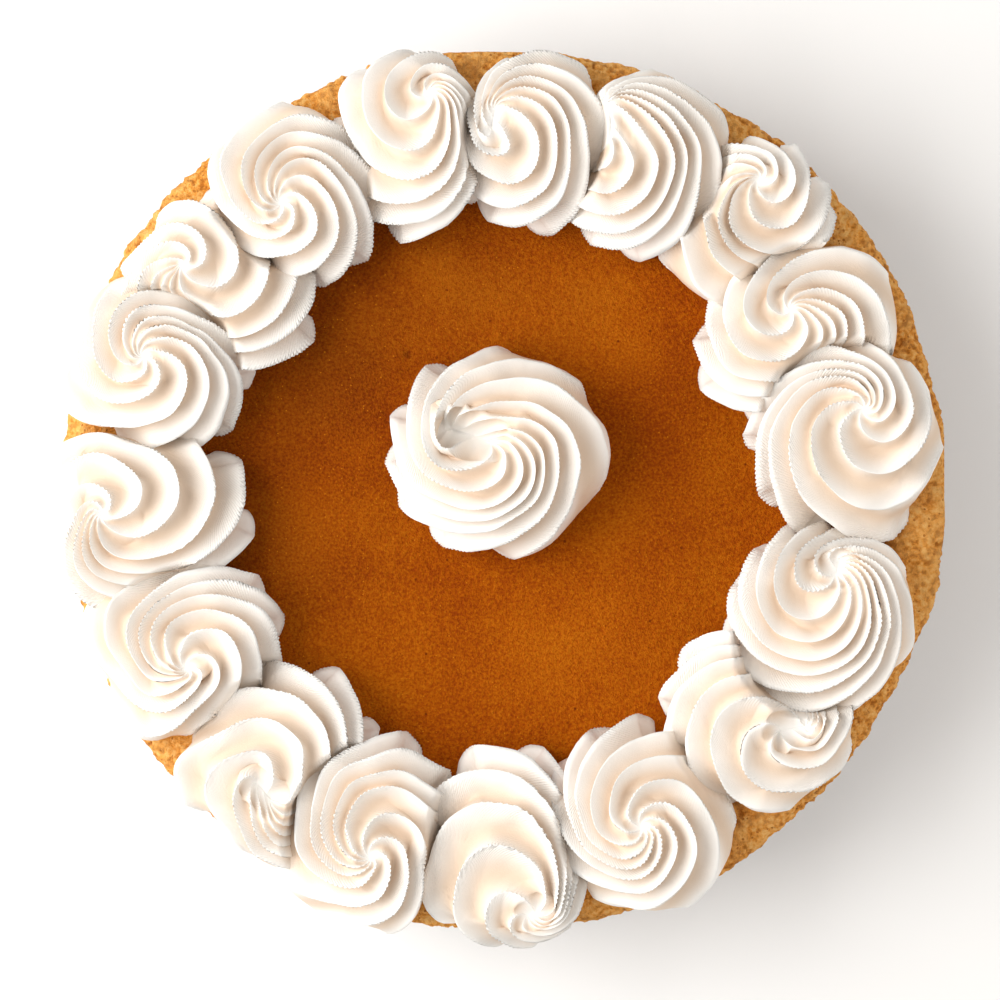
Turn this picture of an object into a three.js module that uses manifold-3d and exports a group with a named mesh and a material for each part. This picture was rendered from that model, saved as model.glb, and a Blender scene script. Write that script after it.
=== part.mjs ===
// A whole pumpkin pie in its tin: pressed tin, baked crust, set filling, a ring of piped cream
// swirls along the edge and one larger swirl near the middle. Millimetres, +Z up, the origin at
// the middle of the tin's flat bottom.
import * as THREE from 'three';
import { mergeVertices } from 'three/addons/utils/BufferGeometryUtils.js';
import Module from 'manifold-3d';

const wasm = await Module();
wasm.setup();

// ---- driving dimensions ----

const GAP = 0.3; // between pieces that touch
const DEGREE = Math.PI / 180;
const ROUND_STEPS = 40; // facets around the tin, the crust and the filling, which nest

const TIN = {
  depth: 34, // from the bottom to the top of the flat rim
  wall: 0.9,
  bottomRadius: 91,
  mouthRadius: 113.5,
  corner: 3.5,
  rimRadius: 119,
  beadRadius: 1.1,
};

const CRUST = {
  thickness: 4.5, // of the floor and the wall
  innerRadius: 107.5, // of the rim, at the filling
  crestRadius: 117,
  crestHeight: 40.5,
  outerRadius: 125.6,
  outerHeight: 36.5,
  lipHeight: 31.5, // how low the rim hangs over the edge of the tin
  unevenRadius: 1.1, // most that the rim bulges out or pulls in
  unevenHeight: 0.7,
};

const FILLING = {
  height: 35, // of the surface in the middle
  sag: 0.8, // how much lower the surface is at the crust
};

// Each swirl is a dome of ridges that leave an eye and wind to the edge. The rows give, from the
// eye to the base, the share of the way to the edge, the share of the height, the share of the
// sweep and how deep the flutes between the ridges are cut, in mm.
const SWIRL = {
  ridges: 8,
  sweep: 150 * DEGREE,
  rows: [
    { out: 0.36, up: 1, turn: 0.24, flute: 1.4 },
    { out: 0.7, up: 0.9, turn: 0.48, flute: 2.6 },
    { out: 0.93, up: 0.6, turn: 0.74, flute: 3 },
    { out: 1, up: 0.32, turn: 1, flute: 3 },
  ],
  eyeUp: 0.82,
  foot: { out: 0.9, up: 0, turn: 1.12, flute: 2 },
  sink: 3, // how far a swirl starts below what it stands on, before its foot is fitted
  squashGap: 1.6, // between a swirl's flank and the smooth dome of the next one
};

// The ring, anticlockwise from the +X side. bearing is in degrees, the rest in mm: reach is from
// the middle of the pie, out and side are the half widths along and across that line, eyeOut and
// eyeSide place the eye in the same two directions. winds is 1 where the ridges wind clockwise on
// their way out, seen from above, and -1 where they wind anticlockwise. over marks a swirl that was
// piped against the next one round, and so squashed it. The others are squashed by the next one.
const RING = [
  { bearing: 9, reach: 99.5, out: 27.5, side: 28, eyeOut: 4, eyeSide: 7.5, height: 25, winds: -1, over: true },
  { bearing: 28, reach: 96.5, out: 30, side: 25, eyeOut: -1, eyeSide: 7.5, height: 24, winds: 1, over: true },
  { bearing: 48.5, reach: 102.5, out: 25, side: 23.5, eyeOut: 11, eyeSide: 4, height: 23, winds: -1 },
  { bearing: 66.5, reach: 102.5, out: 26.5, side: 24, eyeOut: 1, eyeSide: 12, height: 25, winds: 1 },
  { bearing: 84.5, reach: 101, out: 26, side: 21.5, eyeOut: 5.5, eyeSide: 12, height: 24, winds: 1, over: true },
  { bearing: 104, reach: 102, out: 26.5, side: 22, eyeOut: 11, eyeSide: -8, height: 26, winds: 1 },
  { bearing: 124.5, reach: 103.5, out: 26, side: 23, eyeOut: -1.5, eyeSide: 4.5, height: 25, winds: 1, over: true },
  { bearing: 144, reach: 98.5, out: 27.5, side: 24.5, eyeOut: 10.5, eyeSide: 0.5, height: 24, winds: -1 },
  { bearing: 160, reach: 103, out: 25.5, side: 23, eyeOut: 4, eyeSide: -2, height: 25, winds: 1, over: true },
  { bearing: 183, reach: 98.5, out: 27, side: 24.5, eyeOut: 13, eyeSide: 0, height: 24, winds: -1 },
  { bearing: 205.5, reach: 98, out: 26, side: 23, eyeOut: 2, eyeSide: 6, height: 25, winds: 1 },
  { bearing: 230.5, reach: 96.5, out: 27, side: 25, eyeOut: 10.5, eyeSide: 4.5, height: 24, winds: -1 },
  { bearing: 248.5, reach: 102, out: 27, side: 24, eyeOut: 5.5, eyeSide: 3, height: 24, winds: 1 },
  { bearing: 271, reach: 100, out: 29, side: 24, eyeOut: 18, eyeSide: 7.5, height: 23, winds: -1 },
  { bearing: 294, reach: 100.5, out: 27.5, side: 26, eyeOut: 0, eyeSide: -2, height: 26, winds: 1 },
  { bearing: 319.5, reach: 97, out: 27.5, side: 27.5, eyeOut: 5.5, eyeSide: 2, height: 25, winds: -1 },
  { bearing: 338.5, reach: 97.5, out: 26, side: 26.5, eyeOut: -2.5, eyeSide: 13.5, height: 24, winds: 1 },
];
const MIDDLE = { bearing: 88.5, reach: 12, out: 29.5, side: 31, eyeOut: 2.5, eyeSide: 3.5, height: 27, winds: 1 };

// ---- closed surfaces and booleans ----

// A closed surface of rings of points between two poles. pointAt(level, angle) gives the
// position on a level, and the first and last levels are each one point.
function surfaceBetweenPoles(levels, steps, pointAt) {
  const positions = [...pointAt(0, 0)];
  for (let level = 1; level < levels; level++) {
    for (let step = 0; step < steps; step++) {
      positions.push(...pointAt(level, (step / steps) * 2 * Math.PI));
    }
  }
  positions.push(...pointAt(levels, 0));
  const at = (level, step) => 1 + (level - 1) * steps + (step % steps);
  const last = 1 + (levels - 1) * steps;
  const index = [];
  for (let step = 0; step < steps; step++) {
    index.push(0, at(1, step + 1), at(1, step));
    index.push(last, at(levels - 1, step), at(levels - 1, step + 1));
  }
  for (let level = 1; level < levels - 1; level++) {
    for (let step = 0; step < steps; step++) {
      index.push(at(level, step), at(level + 1, step + 1), at(level + 1, step));
      index.push(at(level, step), at(level, step + 1), at(level + 1, step + 1));
    }
  }
  const geometry = new THREE.BufferGeometry();
  geometry.setAttribute('position', new THREE.Float32BufferAttribute(positions, 3));
  geometry.setIndex(index);
  return geometry;
}

function solidOf(geometry) {
  const bare = geometry.clone();
  bare.deleteAttribute('normal');
  bare.deleteAttribute('uv');
  const merged = mergeVertices(bare, 1e-4);
  return new wasm.Manifold(new wasm.Mesh({
    numProp: 3,
    vertProperties: new Float32Array(merged.attributes.position.array),
    triVerts: new Uint32Array(merged.index.array),
  }));
}

function geometryOf(solid) {
  const mesh = solid.getMesh();
  const geometry = new THREE.BufferGeometry();
  geometry.setAttribute('position', new THREE.BufferAttribute(new Float32Array(mesh.vertProperties), 3));
  geometry.setIndex(new THREE.BufferAttribute(new Uint32Array(mesh.triVerts), 1));
  geometry.computeVertexNormals();
  return geometry;
}

// A cut can leave a crumb beside the piece, so only the largest body is kept.
function largestBody(solid) {
  return solid.decompose().reduce((best, body) => (body.volume() > best.volume() ? body : best));
}

// ---- tin ----

function tinGeometry() {
  const { depth, wall, bottomRadius, mouthRadius, corner, rimRadius, beadRadius } = TIN;
  const profile = new THREE.Path();
  profile.moveTo(0, 0);
  profile.lineTo(bottomRadius - corner, 0);
  profile.lineTo(bottomRadius + wall, corner);
  profile.lineTo(mouthRadius + wall, depth - wall);
  profile.lineTo(rimRadius - beadRadius, depth - wall);
  profile.absarc(rimRadius, depth - beadRadius, beadRadius, -Math.PI / 2, Math.PI / 2, false);
  profile.lineTo(mouthRadius, depth);
  profile.lineTo(bottomRadius, corner + wall);
  profile.lineTo(bottomRadius - corner, wall);
  profile.lineTo(0, wall);
  const geometry = new THREE.LatheGeometry(profile.getPoints(2), ROUND_STEPS);
  return geometry.rotateX(Math.PI / 2);
}

// ---- crust ----

// The rim was pressed by hand: long bulges with shorter pinches on them.
function rimWave(angle) {
  return 0.5 * Math.sin(3 * angle + 0.6) + 0.3 * Math.sin(7 * angle + 2.1) + 0.2 * Math.sin(17 * angle);
}

// Corners of the crust's section, from the middle of its floor out over the rim and back below.
// loose is how much of the rim's unevenness a corner takes.
function crustSection(grow) {
  const { thickness, innerRadius, crestRadius, crestHeight, outerRadius, outerHeight, lipHeight } = CRUST;
  const floor = TIN.wall + GAP;
  const slope = (TIN.mouthRadius - TIN.bottomRadius) / (TIN.depth - TIN.corner - TIN.wall);
  const outside = (height) => TIN.bottomRadius - 1.5 * GAP + slope * (height - TIN.corner - TIN.wall);
  return [
    { r: 0, z: floor + thickness },
    { r: outside(floor + thickness) - thickness - 3, z: floor + thickness },
    { r: innerRadius - 2 - grow, z: FILLING.height - 6 },
    { r: innerRadius - grow, z: crestHeight - 3.5 + grow, loose: 0.3 },
    { r: (innerRadius + crestRadius) / 2 - grow, z: crestHeight - 0.6 + grow, loose: 0.6 },
    { r: crestRadius, z: crestHeight + grow, loose: 1 },
    { r: crestRadius + 5.2, z: crestHeight - 1.3 + grow, loose: 1 },
    { r: outerRadius + grow, z: outerHeight + grow, loose: 1 },
    { r: outerRadius - 0.8 + grow, z: lipHeight + 1.6, loose: 1 },
    { r: TIN.rimRadius + TIN.beadRadius + 2, z: lipHeight, loose: 0.5 },
    { r: TIN.rimRadius + TIN.beadRadius + GAP + 0.5, z: TIN.depth - 2 },
    { r: TIN.rimRadius + TIN.beadRadius + GAP, z: TIN.depth + GAP },
    { r: TIN.mouthRadius - 0.6, z: TIN.depth + GAP },
    { r: outside(TIN.corner + 2), z: TIN.corner + 2 },
    { r: TIN.bottomRadius - TIN.corner - 1, z: floor },
    { r: 0, z: floor },
  ];
}

function crustGeometry(grow = 0) {
  const section = crustSection(grow).reverse();
  return surfaceBetweenPoles(section.length - 1, ROUND_STEPS, (level, angle) => {
    const { r, z, loose = 0 } = section[level];
    const radius = r + loose * CRUST.unevenRadius * rimWave(angle);
    const height = z + loose * CRUST.unevenHeight * rimWave(2 * angle + 1.3);
    return [radius * Math.cos(angle), radius * Math.sin(angle), height];
  });
}

// ---- filling ----

function fillingGeometry(grow = 0) {
  const floor = TIN.wall + GAP + CRUST.thickness + GAP;
  const corner = CRUST.innerRadius - 2 - GAP;
  const side = crustSection(0)[1].r - GAP;
  const brim = FILLING.height - FILLING.sag;
  const section = [
    { r: 0, z: floor },
    { r: side - 0.5, z: floor },
    { r: corner - 0.4 + grow, z: FILLING.height - 6 },
    { r: CRUST.innerRadius - 1.9 + grow, z: brim - 0.5 + grow },
    { r: CRUST.innerRadius - 6, z: brim + grow },
    { r: 60, z: FILLING.height - 0.3 + grow },
    { r: 0, z: FILLING.height + grow },
  ];
  return surfaceBetweenPoles(section.length - 1, ROUND_STEPS, (level, angle) => {
    const { r, z } = section[level];
    return [r * Math.cos(angle), r * Math.sin(angle), z];
  });
}

// ---- cream ----

// Distance from the eye to the swirl's elliptical edge, in a direction measured from the line
// out of the middle of the pie.
function edgeDistance({ out, side, eyeOut, eyeSide }, direction) {
  const x = Math.cos(direction);
  const y = Math.sin(direction);
  const a = (x / out) ** 2 + (y / side) ** 2;
  const b = (eyeOut * x) / out ** 2 + (eyeSide * y) / side ** 2;
  const c = (eyeOut / out) ** 2 + (eyeSide / side) ** 2 - 1;
  return (-b + Math.sqrt(b * b - a * c)) / a;
}

// How low a swirl's underside starts before it is fitted: in the filling, and higher over the rim.
function seatHeight(radius) {
  const { innerRadius, crestRadius, crestHeight } = CRUST;
  const share = THREE.MathUtils.clamp((radius - innerRadius) / (crestRadius - innerRadius), 0, 1);
  return THREE.MathUtils.lerp(FILLING.height, crestHeight, share) - SWIRL.sink;
}

// Every second column of the surface is a ridge and the ones between are flutes. Columns run
// along the ridges, so the creases between them stay sharp. Without its ridges it is a plain
// dome, swollen by grow, which the swirl beside it is cut to.
function swirlGeometry(swirl, grow = 0) {
  const ridged = grow === 0;
  const bearing = swirl.bearing * DEGREE;
  const top = FILLING.height + swirl.height;
  const rows = [SWIRL.foot, ...SWIRL.rows.toReversed()];
  const steps = SWIRL.ridges * 2;
  const place = (outward, sideways, up, raise) => {
    const x = (swirl.reach + outward) * Math.cos(bearing) - sideways * Math.sin(bearing);
    const y = (swirl.reach + outward) * Math.sin(bearing) + sideways * Math.cos(bearing);
    return [x, y, THREE.MathUtils.lerp(seatHeight(Math.hypot(x, y)), top, up) + raise];
  };
  const pointAt = (level, angle) => {
    if (level === 0) return place(swirl.eyeOut, swirl.eyeSide, 0, -grow);
    if (level > rows.length) return place(swirl.eyeOut, swirl.eyeSide, SWIRL.eyeUp, grow);
    const row = rows[level - 1];
    const inFlute = Math.round((angle / (2 * Math.PI)) * steps) % 2 === 1;
    const flute = ridged && inFlute ? row.flute : 0;
    const direction = angle - (ridged ? swirl.winds * SWIRL.sweep * row.turn : 0);
    const length = row.out * (edgeDistance(swirl, direction) + grow - flute);
    return place(
      swirl.eyeOut + length * Math.cos(direction),
      swirl.eyeSide + length * Math.sin(direction),
      row.up,
      (row === SWIRL.foot ? -grow : grow) - flute * (1 - row.out),
    );
  };
  return surfaceBetweenPoles(rows.length + 1, steps, pointAt);
}

// The swirls of the ring that lie over the one at a place.
function swirlsOver(i) {
  const next = RING[(i + 1) % RING.length];
  const previous = RING[(i + RING.length - 1) % RING.length];
  return [next, previous].filter((other) => (other === next ? !RING[i].over : other.over));
}

// A swirl's foot fits the crust and filling below it, and its flanks fit the swirls piped over it.
function fittedSwirl(swirl, ground, over) {
  const onGround = solidOf(swirlGeometry(swirl)).subtract(ground);
  const fitted = over.reduce(
    (solid, other) => solid.subtract(solidOf(swirlGeometry(other, SWIRL.squashGap))),
    onGround,
  );
  return geometryOf(largestBody(fitted));
}

// ---- the pie ----

const group = new THREE.Group();

function addPiece(name, geometry, material) {
  const mesh = new THREE.Mesh(geometry, material);
  mesh.name = name;
  group.add(mesh);
}

const pressedMetal = () => new THREE.MeshStandardMaterial({ color: 0xb9bcc0, roughness: 0.35, metalness: 1 });
const bakedPastry = () => new THREE.MeshStandardMaterial({ color: 0xd0904a, roughness: 0.85, metalness: 0 });
const setPumpkin = () => new THREE.MeshStandardMaterial({ color: 0xa14d08, roughness: 0.6, metalness: 0 });
const whippedCream = () => new THREE.MeshStandardMaterial({ color: 0xfbf4e8, roughness: 0.55, metalness: 0 });

addPiece('pie_tin', tinGeometry(), pressedMetal());
addPiece('pie_crust', crustGeometry(), bakedPastry());
addPiece('pumpkin_filling', fillingGeometry(), setPumpkin());

const ground = solidOf(crustGeometry(GAP)).add(solidOf(fillingGeometry(GAP)));
RING.forEach((swirl, i) => {
  const name = `cream_rosette_${String(i + 1).padStart(2, '0')}`;
  addPiece(name, fittedSwirl(swirl, ground, swirlsOver(i)), whippedCream());
});
addPiece('cream_rosette_centre', fittedSwirl(MIDDLE, ground, []), whippedCream());

export default group;
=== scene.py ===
"""The looks of a whole pumpkin pie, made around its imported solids.

Everything is in metres in the solids' own frame: +Z is up and the origin is the middle of the
tin's flat bottom. Sizes that are easier to read in millimetres are multiplied by MM.
"""
import math

import bpy
import numpy as np
from bpy.props import FloatProperty, FloatVectorProperty, IntProperty, PointerProperty
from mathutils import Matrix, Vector


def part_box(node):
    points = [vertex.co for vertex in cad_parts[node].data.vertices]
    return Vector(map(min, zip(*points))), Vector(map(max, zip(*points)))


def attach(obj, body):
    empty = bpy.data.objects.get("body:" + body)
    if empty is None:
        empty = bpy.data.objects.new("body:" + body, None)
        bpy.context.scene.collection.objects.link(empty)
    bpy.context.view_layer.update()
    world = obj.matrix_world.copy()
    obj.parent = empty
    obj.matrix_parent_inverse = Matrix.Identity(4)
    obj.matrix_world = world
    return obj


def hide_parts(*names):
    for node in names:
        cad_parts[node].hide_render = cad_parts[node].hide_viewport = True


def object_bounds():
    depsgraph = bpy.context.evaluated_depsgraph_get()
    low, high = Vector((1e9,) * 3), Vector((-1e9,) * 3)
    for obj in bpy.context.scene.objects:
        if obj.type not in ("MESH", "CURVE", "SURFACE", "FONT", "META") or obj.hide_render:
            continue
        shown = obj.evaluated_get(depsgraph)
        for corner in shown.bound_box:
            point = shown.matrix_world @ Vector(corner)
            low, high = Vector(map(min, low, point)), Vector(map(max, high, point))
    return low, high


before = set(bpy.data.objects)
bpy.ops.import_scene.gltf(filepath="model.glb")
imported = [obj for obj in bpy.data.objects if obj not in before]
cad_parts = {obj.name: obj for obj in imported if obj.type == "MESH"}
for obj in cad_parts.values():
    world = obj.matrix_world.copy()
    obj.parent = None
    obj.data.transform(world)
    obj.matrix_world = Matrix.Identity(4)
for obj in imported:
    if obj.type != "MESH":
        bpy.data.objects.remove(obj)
CAD_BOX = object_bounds()

bl_info = {
    "name": "Pumpkin Pie",
    "version": (1, 0, 0),
    "blender": (4, 5, 0),
    "location": "View3D > Sidebar > Pie",
    "description": "Makes a pumpkin pie with a browned crust and piped cream swirls",
    "category": "Object",
}

MM = 0.001
TURN = 2 * math.pi
BODY = "root"

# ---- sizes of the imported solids, from their boxes where those give them ----

TIN_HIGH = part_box("pie_tin")[1]
FILLING_LOW, FILLING_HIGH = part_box("pumpkin_filling")
TIN_BEAD = 1.1 * MM
TIN_RIM = TIN_HIGH.x - TIN_BEAD
TIN_DEPTH = TIN_HIGH.z
FILLING_TOP = FILLING_HIGH.z
FILLING_BASE = FILLING_LOW.z
# the crust's radii where it leaves the filling, at its crest and at its edge, and its height
CRUST_BRIM = 107.5 * MM
CRUST_CREST = 117 * MM
CRUST_EDGE = 125.6 * MM
CRUST_TOP = 40.5 * MM


# ---- numbers on grids ----

# Large odd numbers that scramble a corner's place and a seed into a random value.
CORNER_FACTORS = np.array([374761393, 668265263, 2147483647])
SEED_FACTOR = 974634777
MIXING_FACTOR = 1274126177


def lattice_noise(points, cell, seed):
    """Smooth noise from -1 to 1: random values at the corners of cubes of the given size, mixed
    across each cube by an ease curve in each direction. Each seed gives another noise."""
    scaled = np.asarray(points, float) / cell + 100.0 + seed * 7.31
    low = np.floor(scaled).astype(np.int64)
    share = scaled - low
    share = share * share * (3 - 2 * share)
    total = np.zeros(scaled.shape[:-1])
    for corner in range(8):
        offset = np.array([corner & 1, corner >> 1 & 1, corner >> 2 & 1])
        at = low + offset
        mixed = at @ CORNER_FACTORS + seed * SEED_FACTOR
        mixed = (mixed ^ (mixed >> 13)) * MIXING_FACTOR
        mixed = mixed ^ (mixed >> 16)
        value = (mixed & 0xFFFFFF) / float(0xFFFFFF) * 2 - 1
        weight = np.prod(np.where(offset == 1, share, 1 - share), axis=-1)
        total += value * weight
    return total


def layered_noise(points, cell, seed, layers=3, keep=0.5):
    """A sum of lattice noise in which each layer has half the cell and keep times the strength."""
    total = np.zeros(np.asarray(points).shape[:-1])
    strength, norm = 1.0, 0.0
    for layer in range(layers):
        total += strength * lattice_noise(points, cell / 2**layer, seed + layer * 17)
        norm += strength
        strength *= keep
    return total / norm


def ease(low, high, value):
    """0 below low, 1 above high and a smooth S between them."""
    share = np.clip((value - low) / (high - low), 0, 1)
    return share * share * (3 - 2 * share)


def curve_through(knots, share):
    """Values of a Catmull-Rom curve through evenly spaced knots, for shares from 0 to 1. The
    tangent at a knot is half the step from the knot before it to the one after it."""
    knots = np.asarray(knots, float)
    last = len(knots) - 1
    place = np.clip(np.asarray(share, float), 0, 1) * last
    i = np.minimum(place.astype(int), last - 1)
    t = (place - i)[..., None]
    before, start = knots[np.maximum(i - 1, 0)], knots[i]
    end, after = knots[i + 1], knots[np.minimum(i + 2, last)]
    a = 2 * start
    b = end - before
    c = 2 * before - 5 * start + 4 * end - after
    d = -before + 3 * start - 3 * end + after
    return 0.5 * (a + b * t + c * t**2 + d * t**3)


def unit(vectors):
    """The same directions with length 1."""
    length = np.linalg.norm(vectors, axis=-1, keepdims=True)
    return vectors / np.maximum(length, 1e-12)


def surface_normals(grid):
    """Unit normals of a grid of points that closes on itself along its second axis, from the
    cross product of the steps along its two directions."""
    along = np.gradient(grid, axis=0)
    around = (np.roll(grid, -1, axis=1) - np.roll(grid, 1, axis=1)) / 2
    return unit(np.cross(along, around))


def closed_mesh(name, first_pole, grid, last_pole, attributes=None):
    """A closed mesh of a pole, rings of points and another pole. Rings that run anticlockwise
    seen from above, from an upper first pole to a lower last pole, give outward faces."""
    rings, steps = grid.shape[:2]
    verts = np.concatenate([[first_pole], grid.reshape(-1, 3), [last_pole]])
    step = np.arange(steps)
    after = (step + 1) % steps
    ring = np.arange(rings - 1)[:, None]
    a = 1 + ring * steps + step
    b = 1 + ring * steps + after
    quads = np.stack([a, a + steps, b + steps, b], axis=-1).reshape(-1, 4)
    start = np.stack([np.zeros(steps, int), 1 + step, 1 + after], axis=-1)
    base = 1 + (rings - 1) * steps
    end = np.stack([base + step, np.full(steps, base + steps), base + after], axis=-1)
    mesh = bpy.data.meshes.new(name)
    mesh.vertices.add(len(verts))
    mesh.vertices.foreach_set("co", verts.astype(np.float32).ravel())
    corners = np.concatenate([quads.ravel(), start.ravel(), end.ravel()])
    sizes = np.concatenate([np.full(len(quads), 4), np.full(2 * steps, 3)])
    mesh.loops.add(len(corners))
    mesh.loops.foreach_set("vertex_index", corners.astype(np.int32))
    mesh.polygons.add(len(sizes))
    mesh.polygons.foreach_set("loop_start", (np.cumsum(sizes) - sizes).astype(np.int32))
    mesh.polygons.foreach_set("use_smooth", np.ones(len(sizes), bool))
    mesh.update(calc_edges=True)
    for key, values in (attributes or {}).items():
        filled = np.concatenate([[values[0].mean()], values.ravel(), [values[-1].mean()]])
        attribute = mesh.attributes.new(key, "FLOAT", "POINT")
        attribute.data.foreach_set("value", filled.astype(np.float32))
    mesh.validate()
    return mesh


def revolved(section, steps):
    """Rings around Z through the points of a section given as radius and height."""
    angle = np.arange(steps) / steps * TURN
    radius = section[:, 0][:, None]
    height = np.broadcast_to(section[:, 1][:, None], (len(section), steps))
    return np.stack([radius * np.cos(angle), radius * np.sin(angle), height], axis=-1)


def spaced_section(corners, spacing):
    """Points along straight lines between corners, about spacing apart, with every corner kept."""
    corners = np.asarray(corners, float)
    points = [corners[:1]]
    for start, end in zip(corners[:-1], corners[1:]):
        count = max(1, int(round(np.linalg.norm(end - start) / spacing)))
        share = np.arange(1, count + 1)[:, None] / count
        points.append(start + (end - start) * share)
    return np.concatenate(points)


def place_piece(name, mesh, material, slot, *nodes):
    """Puts a finished mesh in the scene as a piece that stands for the given nodes."""
    piece = bpy.data.objects.new(name, mesh)
    bpy.context.scene.collection.objects.link(piece)
    mesh.materials.append(material)
    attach(piece, BODY)
    if nodes:
        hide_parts(*nodes)
    return piece


# ---- what the pieces share ----


def rim_wave(angle):
    """The rim's unevenness: long bulges with shorter pinches on them, from about -1 to 1."""
    return 0.5 * np.sin(3 * angle + 0.6) + 0.3 * np.sin(7 * angle + 2.1) + 0.2 * np.sin(17 * angle)


def filling_height(radius):
    """The filling's surface: level in the middle, and sinking a little towards the crust."""
    sag = 0.8 * MM
    return FILLING_TOP - sag * ease(50 * MM, CRUST_BRIM, radius)


def ground_height(radius):
    """What a swirl stands on at a distance from the middle: filling, then the crust's rim, which
    falls by 3 mm from its crest to its edge."""
    rise = ease(CRUST_BRIM - 2 * MM, CRUST_CREST - 2 * MM, radius)
    fall = ease(CRUST_CREST + 3 * MM, CRUST_EDGE, radius)
    under_crest = 0.6 * MM
    rim = CRUST_TOP - under_crest - 3 * MM * fall
    return filling_height(radius) * (1 - rise) + rim * rise


def kept_inside(grid, margin):
    """Points beyond the margin inside the solids' box are eased back by a tanh curve, so that
    they come near its sides but never through them."""
    lo = np.array(CAD_BOX[0])[:2] + margin
    hi = np.array(CAD_BOX[1])[:2] - margin
    flat = grid[..., :2]
    above, below = np.maximum(flat - hi, 0), np.maximum(lo - flat, 0)
    reach = 0.92 * margin
    eased = np.clip(flat, lo, hi) + reach * np.tanh(above / reach) - reach * np.tanh(below / reach)
    return np.concatenate([eased, grid[..., 2:]], axis=-1)


# ---- tin ----


def tin_mesh(look):
    """A pressed dish turned about Z: a flat bottom, a slanted wall and a flat rim that is rolled
    into a bead. The wall is as thick as the sheet, and shallow dents wander round it."""
    wall = look.sheet
    bottom, mouth, corner = 91 * MM, 113.5 * MM, 3.5 * MM
    turn = np.linspace(math.pi / 2, -math.pi / 2, 13)
    bead_height = TIN_DEPTH - TIN_BEAD + TIN_BEAD * np.sin(turn)
    bead = np.stack([TIN_RIM + TIN_BEAD * np.cos(turn), bead_height], axis=-1)
    bend = np.linspace(0, 1, 9)
    inner_bend = curve_through([
        (bottom - corner, wall),
        (bottom - 0.45 * corner, 1.15 * wall),
        (bottom - 0.1 * corner, 0.5 * corner + wall),
        (bottom + 0.5 * MM, corner + wall + 0.4 * MM),
    ], bend)
    outer_bend = curve_through([
        (bottom + wall + 0.5 * MM, corner + 0.6 * MM),
        (bottom + wall - 0.2 * corner, 0.45 * corner),
        (bottom - 0.4 * corner, 0.06 * corner),
        (bottom - corner, 0),
    ], bend)
    inside = spaced_section([(1 * MM, wall), inner_bend[0]], 6 * MM)
    wall_in = spaced_section([inner_bend[-1], (mouth, TIN_DEPTH), bead[0]], 2 * MM)
    wall_out = spaced_section([bead[-1], (mouth + wall, TIN_DEPTH - wall), outer_bend[0]], 2 * MM)
    under = spaced_section([outer_bend[-1], (1 * MM, 0)], 6 * MM)
    section = np.concatenate([
        inside, inner_bend[1:], wall_in[1:], bead[1:], wall_out[1:], outer_bend[1:], under[1:],
    ])
    grid = revolved(section, look.steps)
    up = grid[..., 2] / TIN_DEPTH
    on_wall = ease(0.12, 0.3, up) * (1 - ease(0.8, 0.93, up))
    dent = look.dents * layered_noise(grid, 22 * MM, 41, 2) * on_wall
    outward = unit(grid * np.array([1, 1, 0]))
    grid = grid - outward * np.abs(dent)[..., None]
    return closed_mesh("tin_shell", (0, 0, wall), grid, (0, 0, 0))


# ---- crust ----

# The rim's section in millimetres, from the filling over the crest to where it hangs over the
# tin's bead, and how rough it is at each knot.
RIM_SECTION = [
    (105.4, 29.0, 0.0), (106.6, 34.0, 0.15), (108.2, 37.4, 0.5),
    (112.4, 39.7, 0.8), (117.0, 40.2, 1.0), (121.6, 39.2, 1.0),
    (124.4, 36.6, 1.0), (124.2, 33.4, 0.9), (122.1, 31.7, 0.5),
]
RIM_ROWS = 46
# The rest of the crust's section: under the filling, and against the tin.
FLOOR_SECTION = [(1.0, 5.7), (88.7, 5.7), (105.4, 29.0)]
HIDDEN_SECTION = [
    (122.1, 31.7), (120.9, 32.0), (120.4, 34.3), (112.9, 34.3), (91.6, 5.5), (86.5, 1.2), (1.0, 1.2),
]
HIDDEN_STEP = 9
# The bearing of the side where the rim is widest.
WIDE_SIDE = math.radians(62)


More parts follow.
